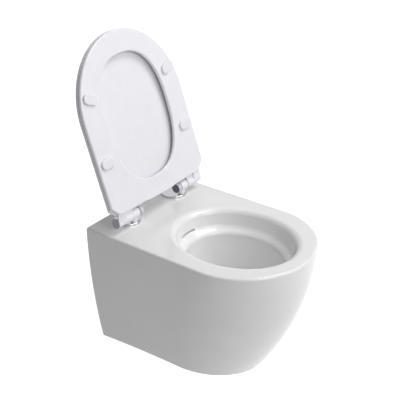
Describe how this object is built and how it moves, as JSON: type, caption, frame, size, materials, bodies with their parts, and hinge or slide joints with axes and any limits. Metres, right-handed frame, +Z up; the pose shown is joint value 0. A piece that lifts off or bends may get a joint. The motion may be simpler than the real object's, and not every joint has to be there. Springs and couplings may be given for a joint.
{
  "type": "wall hung toilet",
  "caption": "Wall hung toilet with a rimless glazed bowl and a slim seat and lid that stand open on soft-close hinges.",
  "frame": {"origin": "midway between the two wall fixing holes, on the wall plane", "axes": "+Z up, +Y into the wall, the bowl reaches out along -Y, +X to the right when facing the wall"},
  "size_m": [0.3574, 0.5659, 0.7715],
  "materials": {
    "glazed_ceramic": "gloss",
    "white_plastic": "gloss",
    "chrome": "polished",
    "steel": "satin",
    "rubber": "matte",
    "buffer_plastic": "satin",
    "dark_plastic": "satin",
    "grey_plastic": "satin"
  },
  "bodies": {
    "pan": {"pan_body": "glazed_ceramic", "hinge_housing_left": "white_plastic", "hinge_housing_right": "white_plastic", "hinge_cover_left": "chrome", "hinge_cover_right": "chrome", "hinge_plate_left": "steel", "hinge_plate_right": "steel", "hinge_post_left": "steel", "hinge_post_right": "steel", "hinge_bolt_left": "steel", "hinge_bolt_right": "steel", "steel_washer_left": "steel", "steel_washer_right": "steel", "hinge_shaft_left": "steel", "hinge_shaft_right": "steel", "button_spring_left": "steel", "button_spring_right": "steel", "fixing_clamp_screw_left": "steel", "fixing_clamp_screw_right": "steel", "hinge_gasket_left": "rubber", "hinge_gasket_right": "rubber", "cone_washer_left": "rubber", "cone_washer_right": "rubber", "wing_nut_left": "dark_plastic", "wing_nut_right": "dark_plastic", "fixing_bush_left": "grey_plastic", "fixing_bush_right": "grey_plastic"},
    "lid": {"lid": "white_plastic", "lid_buffers": "buffer_plastic", "lid_damper": "dark_plastic", "lid_bush_left": "grey_plastic"},
    "seat": {"seat_ring": "white_plastic", "seat_damper": "dark_plastic", "seat_bush_right": "grey_plastic", "hinge_cap_left": "grey_plastic", "hinge_cap_right": "grey_plastic", "seat_buffer_front_left": "buffer_plastic", "seat_buffer_front_right": "buffer_plastic", "seat_buffer_rear_left": "buffer_plastic", "seat_buffer_rear_right": "buffer_plastic"},
    "release_button_left": {"release_button_left": "grey_plastic", "button_face_left": "dark_plastic", "latch_plate_left": "steel"},
    "release_button_right": {"release_button_right": "grey_plastic", "button_face_right": "dark_plastic", "latch_plate_right": "steel"}
  },
  "joints": [
    {"name": "seat_hinge", "type": "hinge", "parent": "pan", "child": "seat", "pos_m": [0, -0.077, 0.1075], "axis": [1, 0, 0], "range_deg": [0, 109.7]},
    {"name": "lid_hinge", "type": "hinge", "parent": "pan", "child": "lid", "pos_m": [0, -0.077, 0.1075], "axis": [1, 0, 0], "range_deg": [0, 109.7]},
    {"name": "release_button_left_press", "type": "slide", "parent": "pan", "child": "release_button_left", "axis": [-1, 0, 0], "range_m": [0, 0.0025], "stiffness_N_per_m": 800, "springref_m": -0.003},
    {"name": "release_button_right_press", "type": "slide", "parent": "pan", "child": "release_button_right", "axis": [1, 0, 0], "range_m": [0, 0.0025], "stiffness_N_per_m": 800, "springref_m": -0.003}
  ],
  "couplings": [
    {"joint": "lid_hinge", "follows": "seat_hinge", "ratio": 1}
  ]
}
